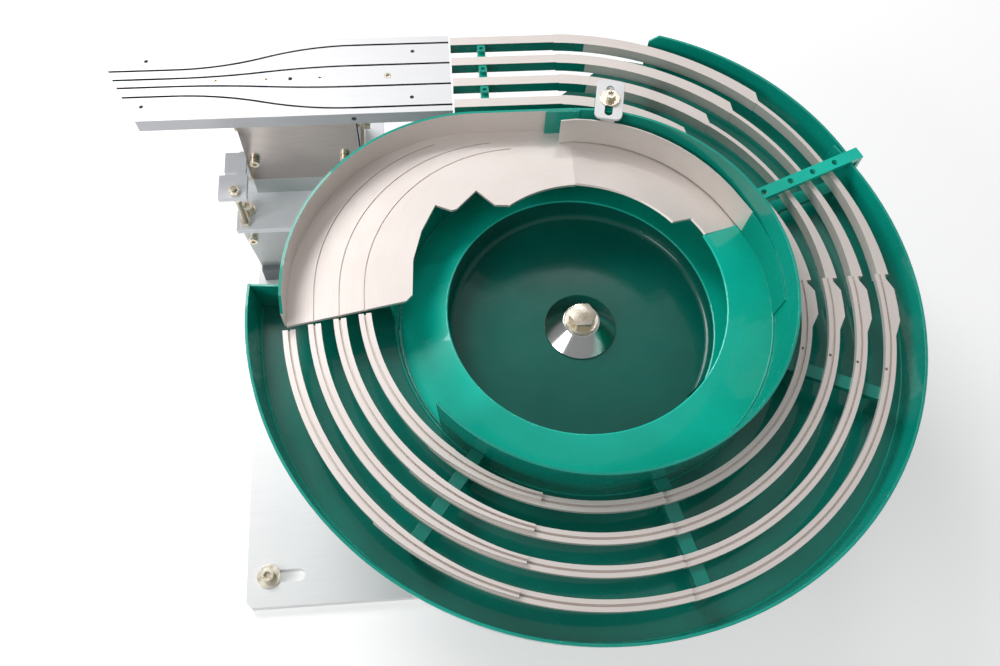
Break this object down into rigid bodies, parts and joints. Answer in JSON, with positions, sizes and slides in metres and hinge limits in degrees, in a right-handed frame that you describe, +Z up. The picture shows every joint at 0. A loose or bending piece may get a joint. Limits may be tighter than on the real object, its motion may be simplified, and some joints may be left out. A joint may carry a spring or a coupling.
{
  "type": "vibratory bowl feeder",
  "caption": "Vibratory bowl feeder: spiral bowl with sorting plate, outer pan with curved lanes, and a grooved inline track on its own linear drive, all on one base plate.",
  "frame": {"origin": "on the bowl's vertical axis, at the underside of the base plate where it stands on the bench", "axes": "+Z up along the bowl's axis; the inline track runs toward -X and lies on the +Y side; +X is the object's longest side"},
  "size_m": [0.7586, 0.6104, 0.3045],
  "materials": {
    "teal_paint": "glossy sprayed enamel",
    "stainless_sheet": "bare rolled sheet, satin",
    "zinc_screws": "yellow zinc plating",
    "bright_plating": "bright plating",
    "milled_plate": "ground and milled flat",
    "castings": "painted grey casting",
    "laminations": "varnished steel laminations",
    "coil_wrap": "varnished tape over copper wire",
    "spring_steel": "blued spring steel"
  },
  "bodies": {
    "base": {"base_plate": "milled_plate", "base_screws": "zinc_screws", "base_washers": "bright_plating", "drive_base": "castings", "drive_base_screws": "zinc_screws", "magnet_core": "laminations", "magnet_coil": "coil_wrap", "leaf_springs": "spring_steel", "lower_spring_screws": "zinc_screws", "stand_foot": "castings", "stand_column": "milled_plate", "stand_top_plate": "milled_plate", "stand_screws": "zinc_screws", "linear_base_block": "milled_plate", "linear_core": "laminations", "linear_coil": "coil_wrap", "front_cover": "stainless_sheet", "back_cover": "stainless_sheet", "cover_screws": "zinc_screws", "level_arm": "milled_plate", "level_rod": "zinc_screws", "level_nuts": "zinc_screws", "linear_springs": "spring_steel", "lower_linear_bolts": "zinc_screws"},
    "bowl": {"top_frame": "castings", "armature": "laminations", "upper_spring_screws": "zinc_screws", "basin_floor": "teal_paint", "basin_wall": "teal_paint", "spiral_track": "teal_paint", "bowl_wall": "teal_paint", "plate_ramp": "stainless_sheet", "sorting_plate": "stainless_sheet", "plate_wall": "stainless_sheet", "wall_lap": "teal_paint", "centre_cone": "bright_plating", "centre_washer": "zinc_screws", "centre_bolt": "zinc_screws", "pan_floor": "teal_paint", "pan_wall": "teal_paint", "pan_wall_exit": "teal_paint", "pan_end_panel": "teal_paint", "cross_bar": "teal_paint", "lower_bar": "teal_paint", "floor_supports": "teal_paint", "clamp_lug": "teal_paint", "clamp_screw": "zinc_screws", "clamp_washer": "zinc_screws", "lane_spacers": "teal_paint", "lane_entry": "stainless_sheet", "lane_middle": "stainless_sheet", "lane_outer": "stainless_sheet", "lane_exit": "stainless_sheet", "baffle": "stainless_sheet"},
    "track": {"track_plate": "milled_plate", "track_screws": "zinc_screws", "linear_top_mass": "castings", "linear_armature": "laminations", "upper_linear_bolts": "zinc_screws"},
    "clamp": {"clamp_plate": "milled_plate"}
  },
  "joints": [
    {"name": "bowl_vibration", "type": "hinge", "parent": "base", "child": "bowl", "pos_m": [0, 0, 0.172], "axis": [0, 0, 1], "range_deg": [-0.15, 0.15], "stiffness_Nm_per_rad": 2000, "deforming": ["leaf_springs"]},
    {"name": "track_vibration", "type": "slide", "parent": "base", "child": "track", "axis": [1, 0, 0], "range_m": [-0.0004, 0.0004], "stiffness_N_per_m": 20000, "deforming": ["linear_springs"]},
    {"name": "clamp_slide", "type": "slide", "parent": "bowl", "child": "clamp", "axis": [0.1959, 0.9806, 0], "range_m": [-0.006, 0.006], "deforming": ["baffle"]}
  ]
}
